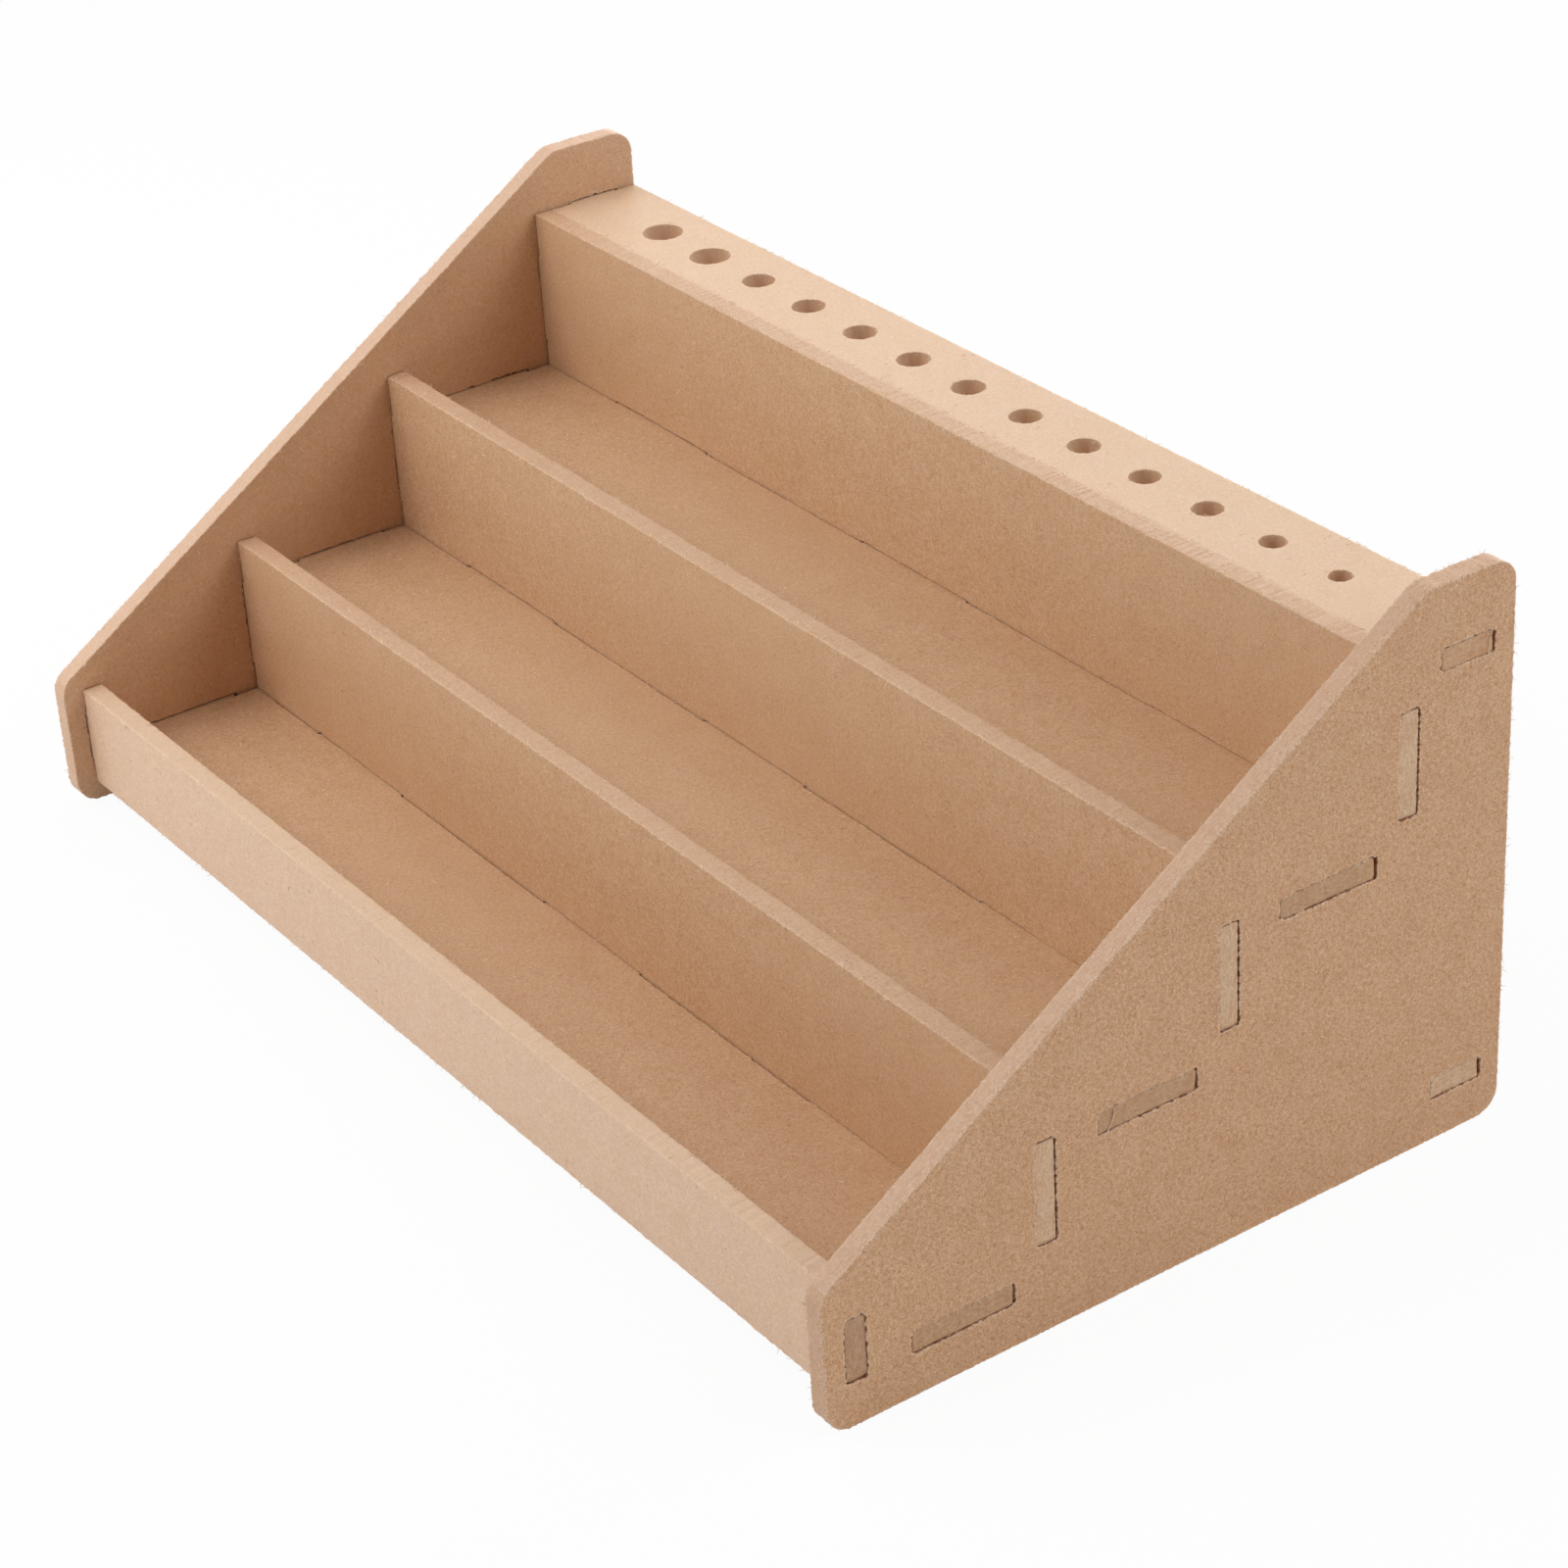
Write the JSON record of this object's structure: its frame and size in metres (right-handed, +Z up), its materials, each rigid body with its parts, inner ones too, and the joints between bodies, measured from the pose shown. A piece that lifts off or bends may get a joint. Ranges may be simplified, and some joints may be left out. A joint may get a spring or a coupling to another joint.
{
  "type": "paint holder",
  "caption": "Stepped tabletop rack of routed fibreboard: open trays rise in tiers for paint bottles, and a rear rail has graded holes for brushes.",
  "frame": {"origin": "on the table, in the middle of the width and of the depth", "axes": "+X along the trays to the right as seen from the front, -Y the front with the low lip, +Z up"},
  "size_m": [0.325, 0.1765, 0.1325],
  "materials": {
    "fibreboard": "raw medium-density fibreboard, matt, with fine flecks and slightly fuzzy routed edges"
  },
  "bodies": {
    "root": {"left_side": "fibreboard", "right_side": "fibreboard", "front_lip": "fibreboard", "lower_shelf": "fibreboard", "middle_shelf": "fibreboard", "upper_shelf": "fibreboard", "lower_upright": "fibreboard", "middle_upright": "fibreboard", "upper_upright": "fibreboard", "brush_rail": "fibreboard", "rear_stretcher": "fibreboard"}
  },
  "joints": []
}
